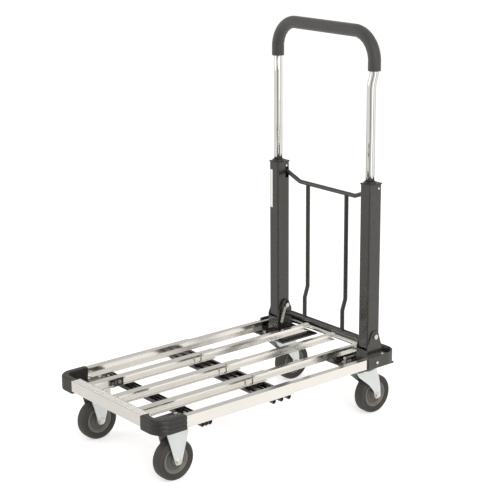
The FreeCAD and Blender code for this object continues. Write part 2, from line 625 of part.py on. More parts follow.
def release_rack():
    """Wire rack whose rods press the release bar down; its ends ride in the posts' slots."""
    use = RACK
    back, low_back = size("rack_back"), size("rod_foot_back")
    cross, end, bend = size("rack_cross"), size("rack_end"), size("rack_bend")
    inner_face = size("post_out") - size("post_wide") / 2
    tip = inner_face + use["in_slot"]
    tip_up = end + (end - cross) / (inner_face - bend) * use["in_slot"]
    bar = bent_rod([(-tip, back, tip_up), (-bend, back, cross), (bend, back, cross), (tip, back, tip_up)],
                   size("rod_radius"), use["rod_bend"])
    out, foot = size("rod_out"), size("release_up")
    upright = bent_rod([(out, back, cross), (out, back, use["step_high"]), (out, low_back, use["step_low"]),
                        (out, low_back, foot + use["rod_into_bar"])], size("rod_radius"), use["rod_bend"])
    left = upright.mirror(Vector(0, 0, 0), Vector(1, 0, 0))
    keep("wire_rack", shape_part(bar.fuse([upright, left])))

    arm_at = use["arm_at"]
    ends = [(use["bar_end_at"], use["bar_end_back"]), (use["bar_turn_at"], use["bar_back"])]
    route = [(-x, y, foot) for x, y in ends] + [(x, y, foot) for x, y in reversed(ends)]
    bow = bent_rod(route, size("bar_radius"), use["bar_bend"])
    bow = bow.common(Part.makeBox(2 * arm_at, 80, 40, Vector(-arm_at, 260, foot - 20)))  # ends flush with the arms
    arm = upright_plate("release_arm", ARM, arm_at, use["arm_thick"])
    doc.recompute()
    slot_half = use["slot_half"]
    slot = Part.makeBox(10, 2 * slot_half, use["slot_tall"],
                        Vector(arm_at - 3, size("pivot_back") - slot_half, size("pivot_up") - slot_half))
    plate = arm.Shape.cut(slot)
    both = bow.fuse([plate, plate.mirror(Vector(0, 0, 0), Vector(1, 0, 0))])
    for upright_rod in (upright, left):
        both = both.cut(upright_rod)
    keep("release_bar", shape_part(both))
    doc.removeObject(arm.Name)

    top, bottom = Vector(*SPRING["top"]), Vector(*SPRING["bottom"])
    along = bottom - top
    outside, inside = [Part.makeCylinder(SPRING[face], along.Length, top, along) for face in ("outside", "inside")]
    keep("release_spring", shape_part(outside.cut(inside)))


# ---------------------------------------------------------------- casters
# (X, radius) outline of a hub, from one face of the wheel's middle line to the other
HUB = [(-15, 6), (-15, 12), (-8, 14), (-8, 27), (-12, 30), (-12, "dims.hub_radius"), (12, "dims.hub_radius"),
       (12, 30), (8, 27), (8, 14), (15, 12), (15, 6)]
AXLE = {"sleeve": 5.9, "past": 3.0, "head": 7.5, "head_tall": 4.0, "head_from": 4.0}


def wheel(name, x, y):
    """Tyre and hub of one wheel, on the wheel's own axle line."""
    side = "dims.wheel_wide / 2"
    tread = [("3 - " + side, "dims.hub_radius"), ("-" + side, "dims.hub_radius + 3"),
             ("-" + side, "dims.wheel_radius - 6"), ("3 - " + side, "dims.wheel_radius - 1.5"),
             ("9 - " + side, "dims.wheel_radius"), (side + " - 9", "dims.wheel_radius"),
             (side + " - 3", "dims.wheel_radius - 1.5"), (side, "dims.wheel_radius - 6"),
             (side, "dims.hub_radius + 3"), (side + " - 3", "dims.hub_radius")]
    for label, corners in (("tyre_" + name, tread), ("hub_" + name, HUB)):
        keep(label, turned_body(label, numbers(corners), (text(x), text(y), "dims.wheel_radius")))


def axle(x, y):
    """Axle bolt with a head, a nut and the sleeve that the hub turns on."""
    level, use = "dims.wheel_radius", AXLE
    half = size("fork_half")
    reach = half + size("fork_thick")
    past = reach + use["past"]
    return join([
        rod("dims.axle_radius", text(2 * past), text(x - past), text(y), level, "x"),
        rod(text(use["sleeve"]), text(2 * half), text(x - half), text(y), level, "x"),
        hexagon(text(use["head"]), text(use["head_tall"]), text(x - reach - use["head_tall"]), text(y), level, "x"),
        hexagon(text(use["head"]), text(use["head_tall"]), text(x + reach), text(y), level, "x"),
    ])


def leg_pair(name, corners, x):
    """The two side plates of a fork round a wheel at x."""
    half, thick = size("fork_half"), size("fork_thick")
    return [upright_plate(name + "_outer", corners, x + half, thick),
            upright_plate(name + "_inner", corners, x - half - thick, thick)]


def bored(fork, x, y):
    """Fork with the hole for its axle."""
    across = 60
    return cut(fork, [rod("dims.axle_radius", text(across), text(x - across / 2), text(y), "dims.wheel_radius", "x")])


# (Y from the axle, Z) outline of a rigid caster's leg, and (Y, Z) outline of a swivel caster's leg
FRONT_LEG = [(-30, 137), (-29, 118), (-9, 46), (-5, 41), (5, 41), (9, 46), (28, 112), (29, 137)]
REAR_LEG = [(258, 126), (258, 122), (264, 112), (300, 82), (316, 62), (319, 48), (324, 41), (334, 41), (339, 50),
            (338, 70), (332, 100), (322, 126)]
FRONT_HEAD = {"wide": 76.0, "thick": 3.0}
SWIVEL = {"plate_wide": 66.0, "plate_long": 92.0, "plate_shift": 2.0, "plate_thick": 3.5,
          "race": 22.0, "race_tall": 5.5, "race_hole": 6.2, "race_below": 9.0,
          "pin": 6.0, "pin_tall": 14.7, "pin_below": 18.2, "nut": 9.0, "nut_tall": 4.0, "nut_below": 18.5,
          "disc": 34.0, "disc_thick": 4.0, "disc_below": 13.3, "disc_hole": 6.1, "bridge_wide": 44.0,
          "bridge_long": 64.0}


def casters():
    """Two rigid casters in front, two swivel casters behind."""
    x, front, top = size("wheel_out"), -size("front_axle"), size("caster_top")
    taper = [(front + along, up) for along, up in FRONT_LEG]
    head = centred(x, front, top - FRONT_HEAD["thick"], FRONT_HEAD["wide"], FRONT_HEAD["wide"], FRONT_HEAD["thick"])
    keep("front_forks", both_sides(bored(join(leg_pair("front_leg", taper, x) + [head]), x, front)))
    keep("front_axles", both_sides(axle(x, front)))
    wheel("front_right", x, front)
    wheel("front_left", -x, front)

    use, swivel = SWIVEL, size("rear_swivel")
    rear = swivel + size("caster_trail")

    def round_at(side_x, radius, tall, below):
        return rod(text(radius), text(tall), text(side_x), text(swivel), text(top - below))

    keep("rear_caster_plates", both_sides(centred(x, swivel + use["plate_shift"], top - use["plate_thick"],
                                                  use["plate_wide"], use["plate_long"], use["plate_thick"])))
    race = cut(round_at(x, use["race"], use["race_tall"], use["race_below"]),
               [round_at(x, use["race_hole"], use["race_tall"] + 2, use["race_below"] + 1)])
    keep("swivel_bearings", both_sides(race))
    nut = hexagon(text(use["nut"]), text(use["nut_tall"]), text(x), text(swivel), text(top - use["nut_below"]))
    keep("kingpins", both_sides(join([round_at(x, use["pin"], use["pin_tall"], use["pin_below"]), nut])))
    for side, sign in SIDES.items():
        disc = round_at(sign * x, use["disc"], use["disc_thick"], use["disc_below"])
        bore = round_at(sign * x, use["disc_hole"], 20, 20)
        legs = leg_pair("rear_leg_" + side, REAR_LEG, sign * x)
        bridge = centred(sign * x, swivel, top - use["disc_below"], use["bridge_wide"], use["bridge_long"],
                         use["disc_thick"])
        keep("rear_fork_" + side, bored(cut(join(legs + [disc, bridge]), [bore]), sign * x, rear))
        keep("rear_axle_" + side, axle(sign * x, rear))
        wheel("rear_" + side, sign * x, rear)


# ---------------------------------------------------------------- fasteners and the extension lock
NUT_PART = 0.62  # a nut or a head is this part of its own radius in height


def upright_bolts(places, radius, head, low, high):
    """Identical vertical bolts: shank from low to high, hexagon head above, nut below."""
    tall = head * NUT_PART
    return [join([
        rod(text(radius), text(high - low), text(x), text(y), text(low)),
        hexagon(text(head), text(tall), text(x), text(y), text(high)),
        hexagon(text(head), text(tall), text(x), text(y), text(low - tall)),
    ]) for x, y in places]


def caster_bolt_places(middle_y, across, along):
    """Four bolt places round the middle of each caster's plate."""
    return [(sign * (size("wheel_out") + x), middle_y + y) for sign in (1, -1) for x in across for y in along]


FRONT_BOLTS = {"across": (-29, 29), "along": (-31, 31), "shank": 3.0, "head": 5.5, "low": 134.0}
REAR_BOLTS = {"across": (-26, 26), "along": (-34, 42), "shank": 3.0, "head": 6.2, "low": 133.5}
STUDS = {"at": (155, -155), "y": -264.0, "low": 137.2, "shank": 3.5, "tall": 15.8, "nut": 6.0, "nut_tall": 4.0}
SCREWS = {"off_slat": 8.0, "y": -26.7, "shank": 2.0, "low": 138.5, "tall": 30.5, "head": 2.9, "head_tall": 1.0,
          "nut": 4.2, "nut_tall": 3.0, "nut_low": 135.8}
BAND_BOLT = {"radius": 4.0, "tall": 2.2, "y": 292.5, "z": 155.0}
STOP = {"x": 130.0, "z": 151.0, "from": 256.0, "long": 40.0, "shank": 3.0, "head": 5.0, "head_from": 257.0,
        "head_tall": 4.5, "nut_from": 293.5, "nut_tall": 4.0}


def fasteners():
    """Bolts, screws and rivets that hold the deck together."""
    low, use = size("under_rail"), FRONT_BOLTS
    bolts = upright_bolts(caster_bolt_places(-size("front_axle"), use["across"], use["along"]), use["shank"],
                          use["head"], use["low"], low)
    studs = [join([rod(text(STUDS["shank"]), text(STUDS["tall"]), text(x), text(STUDS["y"]), text(STUDS["low"])),
                   hexagon(text(STUDS["nut"]), text(STUDS["nut_tall"]), text(x), text(STUDS["y"]), text(low))])
             for x in STUDS["at"]]
    keep("front_plate_bolts", group(bolts + studs))
    use = REAR_BOLTS
    keep("rear_plate_bolts", group(upright_bolts(
        caster_bolt_places(size("rear_swivel"), use["across"], use["along"]), use["shank"], use["head"],
        use["low"], low)))
    use, screws = SCREWS, []
    for rail in (-1, 0, 1):
        x, y = text(rail * size("inner_pitch") + use["off_slat"]), text(use["y"])
        screws.append(join([
            rod(text(use["shank"]), text(use["tall"]), x, y, text(use["low"])),
            rod(text(use["head"]), text(use["head_tall"]), x, y, text(size("deck_top") - use["head_tall"])),
            hexagon(text(use["nut"]), text(use["nut_tall"]), x, y, text(use["nut_low"]))]))
    keep("guide_screws", group(screws))
    use = BAND_BOLT
    keep("band_bolts", both_sides(rod(text(use["radius"]), text(use["tall"]), "dims.band_half", text(use["y"]),
                                      text(use["z"]), "x")))
    use = STOP
    x, z = text(use["x"]), text(use["z"])
    keep("stop_bolts", both_sides(join([
        rod(text(use["shank"]), text(use["long"]), x, text(use["from"]), z, "y"),
        hexagon(text(use["head"]), text(use["head_tall"]), x, text(use["head_from"]), z, "y"),
        hexagon(text(use["head"]), text(use["nut_tall"]), x, text(use["nut_from"]), z, "y")])))


# block in the mouth of the left slat, the well in it, and the button's foot and tip; X is from the slat's middle
LOCK = {"y": -274.0, "block_at": 8.6, "block_low": 148.6, "block_wide": 6.2, "block_long": 20.0, "block_tall": 18.8,
        "button_up": 158.0, "well": 5.3, "well_from": 2.0, "well_deep": 12.0, "foot": 5.0, "foot_from": 6.8,
        "foot_long": 4.0, "tip": 4.0, "tip_long": 3.4}


def extension_lock():
    """Spring button that holds the sliding half; it sits in a block in the mouth of the left slat."""
    use, x = LOCK, -size("inner_pitch")
    y, z = text(use["y"]), text(use["button_up"])
    block = centred(x + use["block_at"], use["y"], use["block_low"], use["block_wide"], use["block_long"],
                    use["block_tall"])
    well = rod(text(use["well"]), text(use["well_deep"]), text(x + use["well_from"]), y, z, "x")
    keep("lock_block", cut(block, [well]))
    foot_from = x + use["foot_from"]
    keep("lock_button", join([
        rod(text(use["foot"]), text(use["foot_long"]), text(foot_from), y, z, "x"),
        rod(text(use["tip"]), text(use["tip_long"]), text(foot_from + use["foot_long"]), y, z, "x")]))


outer_rails()
inner_rails()
front_beam()
corner_bumpers()
front_plates()
rear_band()
rear_frame()
brackets()
posts()
grip_handle()
release_rack()
casters()
fasteners()
extension_lock()

doc.recompute()
for obj in doc.Objects:
    if "Invalid" in obj.State or "Error" in obj.State:
        raise RuntimeError("%s did not rebuild: %s" % (obj.Label, obj.State))
for obj in finished:
    shape = obj.Shape
    if shape.isNull() or not shape.isValid() or not shape.Solids:
        raise RuntimeError("%s has no valid solid" % obj.Label)
    shape.exportStep("parts/%s.step" % obj.Label)
print(len(finished), "sub-parts written")
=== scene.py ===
import json
import math

import bmesh
import bpy
from mathutils import Matrix, Vector


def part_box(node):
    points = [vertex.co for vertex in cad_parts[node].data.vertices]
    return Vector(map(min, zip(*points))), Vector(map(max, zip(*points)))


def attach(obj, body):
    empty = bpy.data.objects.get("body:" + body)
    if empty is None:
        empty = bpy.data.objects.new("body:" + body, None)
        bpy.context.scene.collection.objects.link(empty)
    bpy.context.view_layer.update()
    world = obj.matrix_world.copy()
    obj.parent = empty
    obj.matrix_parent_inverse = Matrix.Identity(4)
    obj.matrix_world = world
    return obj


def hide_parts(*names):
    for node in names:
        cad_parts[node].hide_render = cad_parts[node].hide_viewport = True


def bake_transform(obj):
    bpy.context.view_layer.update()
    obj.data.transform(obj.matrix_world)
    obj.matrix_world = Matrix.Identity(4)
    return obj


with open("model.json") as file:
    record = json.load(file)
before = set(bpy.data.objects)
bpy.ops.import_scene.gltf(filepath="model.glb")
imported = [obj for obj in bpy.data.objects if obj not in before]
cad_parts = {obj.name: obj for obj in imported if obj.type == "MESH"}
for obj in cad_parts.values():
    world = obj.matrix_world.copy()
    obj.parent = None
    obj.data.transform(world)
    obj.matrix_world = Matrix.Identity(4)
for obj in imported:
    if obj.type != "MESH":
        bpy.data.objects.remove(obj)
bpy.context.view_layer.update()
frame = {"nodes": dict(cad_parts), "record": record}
slotOfNode = {row["node"]: row["material_slot"] for row in frame["record"]["subparts"]}
bodyOfNode = {node: body for body, nodes in frame["record"]["behaviour"]["bodies"].items()
              for node in nodes}
mm = 0.001
sides = {"right": 1, "left": -1}
mixFactor, mixA, mixB, mixOut = 0, 6, 7, 2  # a Mix node's sockets when it mixes colours


# a shader group with named sockets: inputs are (label, kind, start value), outputs are (label, kind)
def newGroup(name, inputs, outputs):
    group = bpy.data.node_groups.new(name, "ShaderNodeTree")
    for label, kind, value in inputs:
        socket = group.interface.new_socket(label, in_out="INPUT", socket_type="NodeSocket" + kind)
        socket.default_value = value
    for label, kind in outputs:
        group.interface.new_socket(label, in_out="OUTPUT", socket_type="NodeSocket" + kind)
    return group, group.nodes.new("NodeGroupInput"), group.nodes.new("NodeGroupOutput")


def addNode(tree, kind, sets=(), **values):
    node = tree.nodes.new("ShaderNode" + kind)
    for label, value in values.items():
        setattr(node, label, value)
    for socket, value in dict(sets).items():
        node.inputs[socket].default_value = value
    return node


def wire(tree, start, output, end, socket):
    tree.links.new(start.outputs[output], end.inputs[socket])


# slow patches of lighter and darker tone
def buildToneGroup():
    group, start, end = newGroup(
        "toneDrift",
        [("Color", "Color", (0.5, 0.5, 0.5, 1)), ("Amount", "Float", 0.1), ("Scale", "Float", 20.0)],
        [("Color", "Color")])
    place = addNode(group, "TexCoord")
    noise = addNode(group, "TexNoise", {"Detail": 5.0, "Roughness": 0.6})
    span = addNode(group, "MapRange", {"From Min": 0.3, "From Max": 0.7})
    gain = addNode(group, "Math", operation="MULTIPLY")
    value = addNode(group, "Math", {0: 1.0}, operation="SUBTRACT")
    scaled = addNode(group, "VectorMath", operation="SCALE")
    wire(group, place, "Object", noise, "Vector")
    wire(group, start, "Scale", noise, "Scale")
    wire(group, noise, "Fac", span, "Value")
    wire(group, span, "Result", gain, 0)
    wire(group, start, "Amount", gain, 1)
    wire(group, gain, "Value", value, 1)
    wire(group, start, "Color", scaled, 0)
    wire(group, value, "Value", scaled, "Scale")
    wire(group, scaled, "Vector", end, "Color")
    return group


# drawn-out lines: Stretch is how fast the pattern changes along each axis
def buildGrainGroup():
    group, start, end = newGroup(
        "drawnGrain",
        [("Stretch", "Vector", (1, 1, 1)), ("Scale", "Float", 600.0)],
        [("Height", "Float"), ("Mask", "Float")])
    place = addNode(group, "TexCoord")
    pull = addNode(group, "VectorMath", operation="MULTIPLY")
    fine = addNode(group, "TexNoise", {"Detail": 3.0, "Roughness": 0.7})
    coarse = addNode(group, "TexNoise", {"Detail": 2.0, "Roughness": 0.5})
    slower = addNode(group, "Math", {1: 0.22}, operation="MULTIPLY")  # wider lines under the fine ones
    both = addNode(group, "Math", {1: 0.6}, operation="MULTIPLY_ADD")
    wire(group, place, "Object", pull, 0)
    wire(group, start, "Stretch", pull, 1)
    for noise in (fine, coarse):
        wire(group, pull, "Vector", noise, "Vector")
    wire(group, start, "Scale", fine, "Scale")
    wire(group, start, "Scale", slower, 0)
    wire(group, slower, "Value", coarse, "Scale")
    wire(group, fine, "Fac", both, 0)
    wire(group, coarse, "Fac", both, 2)
    wire(group, both, "Value", end, "Height")
    wire(group, coarse, "Fac", end, "Mask")
    return group


# rubbed corners: bright on convex edges, broken up by noise
def buildWearGroup():
    group, start, end = newGroup(
        "edgeRub", [("Amount", "Float", 0.5), ("Scale", "Float", 90.0)], [("Mask", "Float")])
    place = addNode(group, "TexCoord")
    shape = addNode(group, "NewGeometry")
    convex = addNode(group, "MapRange", {"From Min": 0.505, "From Max": 0.6})
    noise = addNode(group, "TexNoise", {"Detail": 6.0, "Roughness": 0.7})
    broken = addNode(group, "MapRange", {"From Min": 0.42, "From Max": 0.62})
    both = addNode(group, "Math", operation="MULTIPLY")
    gain = addNode(group, "Math", operation="MULTIPLY")
    wire(group, shape, "Pointiness", convex, "Value")
    wire(group, place, "Object", noise, "Vector")
    wire(group, start, "Scale", noise, "Scale")
    wire(group, noise, "Fac", broken, "Value")
    wire(group, convex, "Result", both, 0)
    wire(group, broken, "Result", both, 1)
    wire(group, both, "Value", gain, 0)
    wire(group, start, "Amount", gain, 1)
    wire(group, gain, "Value", end, "Mask")
    return group


# dust that settles on what faces up
def buildDustGroup():
    group, start, end = newGroup(
        "restingDust", [("Amount", "Float", 0.2), ("Scale", "Float", 35.0)], [("Mask", "Float")])
    place = addNode(group, "TexCoord")
    shape = addNode(group, "NewGeometry")
    split = addNode(group, "SeparateXYZ")
    up = addNode(group, "MapRange", {"From Min": 0.2, "From Max": 1.0})
    noise = addNode(group, "TexNoise", {"Detail": 8.0, "Roughness": 0.65})
    patch = addNode(group, "MapRange", {"From Min": 0.35, "From Max": 0.75})
    both = addNode(group, "Math", operation="MULTIPLY")
    gain = addNode(group, "Math", operation="MULTIPLY")
    wire(group, shape, "Normal", split, "Vector")
    wire(group, split, "Z", up, "Value")
    wire(group, place, "Object", noise, "Vector")
    wire(group, start, "Scale", noise, "Scale")
    wire(group, noise, "Fac", patch, "Value")
    wire(group, up, "Result", both, 0)
    wire(group, patch, "Result", both, 1)
    wire(group, both, "Value", gain, 0)
    wire(group, start, "Amount", gain, 1)
    wire(group, gain, "Value", end, "Mask")
    return group


toneDrift = buildToneGroup()
drawnGrain = buildGrainGroup()
edgeRub = buildWearGroup()
restingDust = buildDustGroup()
print("shader groups built")

# how fast the grain changes along each axis, slowly along the way it is drawn
alongX = (0.04, 1, 1)
alongY = (1, 0.04, 1)
alongZ = (1, 1, 0.04)
evenly = (1, 1, 1)
rubbedSteel = (0.42, 0.41, 0.39, 1)
paleDust = (0.42, 0.40, 0.37, 1)

# one row of looks for each finish: colour, gloss, grain in mm, rubbed edges and dust
finishes = {
    "alu": dict(color=(0.88, 0.865, 0.835, 1), metal=1.0, rough=0.19, roughSwing=0.08, tone=0.05,
                toneScale=9, stretch=alongY, grainScale=900, grainDepth=0.008, rub=0.1,
                rubColor=(0.95, 0.94, 0.92, 1), dust=0.02),
    "aluAcross": dict(color=(0.87, 0.855, 0.825, 1), metal=1.0, rough=0.24, roughSwing=0.10, tone=0.05,
                      toneScale=9, stretch=alongX, grainScale=900, grainDepth=0.008, rub=0.1,
                      rubColor=(0.95, 0.94, 0.92, 1), dust=0.02),
    "chrome": dict(color=(0.82, 0.82, 0.81, 1), metal=1.0, rough=0.06, roughSwing=0.04, tone=0.03,
                   toneScale=30, stretch=alongZ, grainScale=260, grainDepth=0.001, rub=0.0,
                   rubColor=(1, 1, 1, 1), dust=0.01),
    "black_paint": dict(color=(0.0185, 0.0170, 0.0155, 1), metal=0.0, rough=0.27, roughSwing=0.06,
                        tone=0.08, toneScale=14, stretch=evenly, grainScale=520, grainDepth=0.0025,
                        rub=0.06, rubColor=rubbedSteel, dust=0.015, coat=0.5, coatRough=0.12),
    "cap_plastic": dict(color=(0.024, 0.024, 0.024, 1), metal=0.0, rough=0.36, roughSwing=0.1,
                        tone=0.12, toneScale=60, stretch=evenly, grainScale=900, grainDepth=0.012,
                        rub=0.08, rubColor=(0.15, 0.15, 0.15, 1), dust=0.05),
    "grip_foam": dict(color=(0.036, 0.036, 0.036, 1), metal=0.0, rough=0.55, roughSwing=0.12, tone=0.18,
                      toneScale=30, stretch=evenly, grainScale=1300, grainDepth=0.05, rub=0.1,
                      rubColor=(0.10, 0.10, 0.10, 1), dust=0.02, sheen=0.25),
    "tyre": dict(color=(0.038, 0.035, 0.031, 1), metal=0.0, rough=0.58, roughSwing=0.14, tone=0.16,
                 toneScale=40, stretch=evenly, grainScale=900, grainDepth=0.025, rub=0.15,
                 rubColor=(0.16, 0.15, 0.14, 1), dust=0.08),
    "hub": dict(color=(0.150, 0.139, 0.126, 1), metal=0.0, rough=0.45, roughSwing=0.12, tone=0.12,
                toneScale=50, stretch=evenly, grainScale=800, grainDepth=0.015, rub=0.15,
                rubColor=(0.42, 0.40, 0.37, 1), dust=0.05),
    # the hub's own finish made darker, used as painted shade in the recessed dish
    "hubDishPaintedShade": dict(color=(0.082, 0.078, 0.068, 1), metal=0.0, rough=0.5, roughSwing=0.12, tone=0.14,
                    toneScale=50, stretch=evenly, grainScale=800, grainDepth=0.015, rub=0.1,
                    rubColor=(0.3, 0.29, 0.27, 1), dust=0.04),
    "zinc": dict(color=(0.76, 0.80, 0.81, 1), metal=0.8, rough=0.40, roughSwing=0.12, tone=0.08,
                 toneScale=45, stretch=evenly, grainScale=380, grainDepth=0.010, rub=0.15,
                 rubColor=(0.9, 0.9, 0.9, 1), dust=0.02),
    "bolt_steel": dict(color=(0.76, 0.74, 0.69, 1), metal=0.95, rough=0.28, roughSwing=0.12, tone=0.14,
                       toneScale=160, stretch=evenly, grainScale=900, grainDepth=0.010, rub=0.15,
                       rubColor=(0.9, 0.9, 0.88, 1), dust=0.03),
    "bumper": dict(color=(0.0215, 0.0205, 0.0190, 1), metal=0.0, rough=0.38, roughSwing=0.10, tone=0.12,
                   toneScale=30, stretch=evenly, grainScale=1100, grainDepth=0.025, rub=0.15,
                   rubColor=(0.12, 0.12, 0.115, 1), dust=0.03),
    "label": dict(color=(0.83, 0.82, 0.79, 1), metal=0.0, rough=0.42, roughSwing=0.1, tone=0.05,
                  toneScale=60, stretch=evenly, grainScale=700, grainDepth=0.008, rub=0.2,
                  rubColor=(0.6, 0.58, 0.54, 1), dust=0.02),
}


def placeGroup(tree, group, **values):
    node = tree.nodes.new("ShaderNodeGroup")
    node.node_tree = group
    for label, value in values.items():
        node.inputs[label].default_value = value
    return node


def buildFinish(name, look):
    material = bpy.data.materials.new(name)
    material.use_nodes = True
    tree = material.node_tree
    shader = tree.nodes["Principled BSDF"]
    shader.inputs["Metallic"].default_value = look["metal"]
    if "coat" in look:
        shader.inputs["Coat Weight"].default_value = look["coat"]
        shader.inputs["Coat Roughness"].default_value = look["coatRough"]
    if "sheen" in look:
        shader.inputs["Sheen Weight"].default_value = look["sheen"]
    tone = placeGroup(tree, toneDrift, Color=look["color"], Amount=look["tone"], Scale=look["toneScale"])
    grain = placeGroup(tree, drawnGrain, Stretch=look["stretch"], Scale=look["grainScale"])
    rub = placeGroup(tree, edgeRub, Amount=look["rub"])
    dust = placeGroup(tree, restingDust, Amount=look["dust"])
    rubbed = addNode(tree, "Mix", data_type="RGBA")
    rubbed.inputs[mixB].default_value = look["rubColor"]
    dusted = addNode(tree, "Mix", data_type="RGBA")
    dusted.inputs[mixB].default_value = paleDust
    rough = addNode(tree, "MapRange", {"To Min": look["rough"] - look["roughSwing"] / 2,
                                       "To Max": look["rough"] + look["roughSwing"] / 2})
    bump = addNode(tree, "Bump", {"Strength": 1.0, "Distance": look["grainDepth"] * mm})
    wire(tree, tone, "Color", rubbed, mixA)
    wire(tree, rub, "Mask", rubbed, mixFactor)
    wire(tree, rubbed, mixOut, dusted, mixA)
    wire(tree, dust, "Mask", dusted, mixFactor)
    wire(tree, dusted, mixOut, shader, "Base Color")
    wire(tree, grain, "Mask", rough, "Value")
    wire(tree, rough, "Result", shader, "Roughness")
    wire(tree, grain, "Height", bump, "Height")
    wire(tree, bump, "Normal", shader, "Normal")
    return material


materials = {name: buildFinish(name, look) for name, look in finishes.items()}
print("finishes built:", len(materials))


# a finished mesh as a piece: the body it rides on, the CAD nodes it stands for and its material slot
def newPiece(name, shell, finish, body, nodes):
    mesh = bpy.data.meshes.new(name)
    shell.to_mesh(mesh)
    shell.free()
    piece = bpy.data.objects.new(name, mesh)
    bpy.context.scene.collection.objects.link(piece)
    mesh.materials.append(materials[finish])
    mesh.shade_smooth()
    if body:
        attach(piece, body)
    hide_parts(*nodes)
    return piece


edgeLook = {"segments": 2, "limit": 32, "flatWeight": 80}  # limit in degrees
# points nearer to each other than this, in mm, become one
mergeGap = {"cad": 0.01, "turned": 0.005, "swept": 0.002, "bumper": 0.01}
sameFlat = 0.8  # CAD faces within this many degrees are one


def roundEdges(piece, width, segments=edgeLook["segments"], limit=edgeLook["limit"]):
    edge = piece.modifiers.new("roundedEdges", "BEVEL")
    edge.width = width
    edge.segments = segments
    edge.limit_method = "ANGLE"
    edge.angle_limit = math.radians(limit)
    edge.use_clamp_overlap = True
    edge.miter_outer = "MITER_ARC"
    even = piece.modifiers.new("evenShading", "WEIGHTED_NORMAL")
    even.keep_sharp = True
    even.weight = edgeLook["flatWeight"]


# a CAD part carried over as it is, its loose triangles joined and its edges rounded
def dressNode(node, width, finish):
    shell = bmesh.new()
    shell.from_mesh(frame["nodes"][node].data)
    bmesh.ops.remove_doubles(shell, verts=shell.verts, dist=mergeGap["cad"] * mm)
    bmesh.ops.dissolve_limit(shell, angle_limit=math.radians(sameFlat), use_dissolve_boundaries=False,
                             verts=shell.verts, edges=shell.edges, delimit={"NORMAL"})
    piece = newPiece(node + "_finished", shell, finish, bodyOfNode[node], [node])
    roundEdges(piece, width)


# a closed profile of (x, radius) turned about a wheel's own axle line
def turnProfile(profile, centre, steps):
    shell = bmesh.new()
    points = [shell.verts.new(centre + Vector((x, 0, radius))) for x, radius in profile]
    edges = [shell.edges.new((a, b)) for a, b in zip(points, points[1:] + points[:1])]
    bmesh.ops.spin(shell, geom=points + edges, cent=centre, axis=(1, 0, 0), dvec=(0, 0, 0),
                   angle=math.tau, steps=steps, use_merge=True, use_duplicate=False)
    bmesh.ops.remove_doubles(shell, verts=shell.verts, dist=mergeGap["turned"] * mm)
    bmesh.ops.recalc_face_normals(shell, faces=shell.faces)
    return shell


# one tyre half goes from the rim up the sidewall to the tread, the other half is its mirror; sizes in mm
tyreSizes = {"rim": 33.5, "ridges": 3, "ridgeRise": 1.2, "ridgeFrom": 36.0, "ridgeStep": 2.6, "crown": 0.5,
             "steps": 96, "shoulder": 6.0, "shoulderDeep": 5.8, "shoulderTurns": 6, "shoulderTurn": 18,
             "flatPart": 0.3, "flatDrop": 0.08}
beadShape = ((3.2, 0.0), (2.0, 0.4), (0.9, 1.6))  # in from the sidewall, out from the rim
ridgeShape = ((0.0, 0.0), (0.5, 0.8), (1.0, 1.0), (1.5, 0.8), (2.1, 0.0))  # out from its base, part of the rise


def tyreProfile(half, inner, outer):
    use = tyreSizes
    shoulder = use["shoulder"]
    side = [(half - inward, inner + outward) for inward, outward in beadShape]
    for ridge in range(use["ridges"]):
        base = use["ridgeFrom"] + ridge * use["ridgeStep"]
        side += [(half - use["ridgeRise"] * (1.0 - rise), base + outward) for outward, rise in ridgeShape]
    for turn in range(use["shoulderTurns"]):
        angle = math.radians(turn * use["shoulderTurn"])
        side.append((half - shoulder + use["shoulderDeep"] * math.cos(angle),
                     outer - shoulder - use["crown"] + shoulder * math.sin(angle)))
    side.append((half * use["flatPart"], outer - use["flatDrop"]))
    side.append((0.0, outer))
    mirrored = [(-x, radius) for x, radius in reversed(side[:-1])]
    return [(x * mm, radius * mm) for x, radius in side + mirrored]


# from the bore over the boss, down into the dish and up to the rim that holds the tyre; sizes in mm. Out to the
# shade radius the dish is painted darker, as painted shade in its recess
hubSizes = {"rim": 4.2, "rimIn": 2.6, "dish": 7.4, "boss": 11.5, "bore": 6.0, "dishFlat": 20.0,
            "dishEdge": 25.5, "dishRise": 0.5, "shade": 26.0, "steps": 72}
boreEdge = ((0.4, 0.0), (0.1, 0.6))  # in from the side, out from the bore
bossEdge = ((0.1, 1.4), (1.2, 0.0))  # in from the side, in from the boss's edge
bossFoot = ((1.6, 1.8), (0.0, 3.4))  # up from the dish, out from the boss
rimEdge = ((2.4, -1.2), (0.5, 0.0), (0.0, 0.7))  # in from the rim's side, out from its face
tyreSeat = ((0.0, 0.8), (0.4, 0.15))  # in from the rim's side, in from the tyre


def hubProfile(half, outer):
    use = hubSizes
    bore, boss, dish = use["bore"], use["boss"], use["dish"]
    rimSide, face = half - use["rimIn"], outer - use["rim"]
    side = [(half - inward, bore + outward) for inward, outward in boreEdge]
    side += [(half - inward, boss - short) for inward, short in bossEdge]
    side += [(dish + rise, boss + outward) for rise, outward in bossFoot]
    side += [(dish, use["dishFlat"]), (dish + use["dishRise"], use["dishEdge"])]
    side += [(rimSide - inward, face + outward) for inward, outward in rimEdge]
    side += [(rimSide - inward, outer - short) for inward, short in tyreSeat]
    mirrored = [(-x, radius) for x, radius in reversed(side)]
    return [(x * mm, radius * mm) for x, radius in side + mirrored]


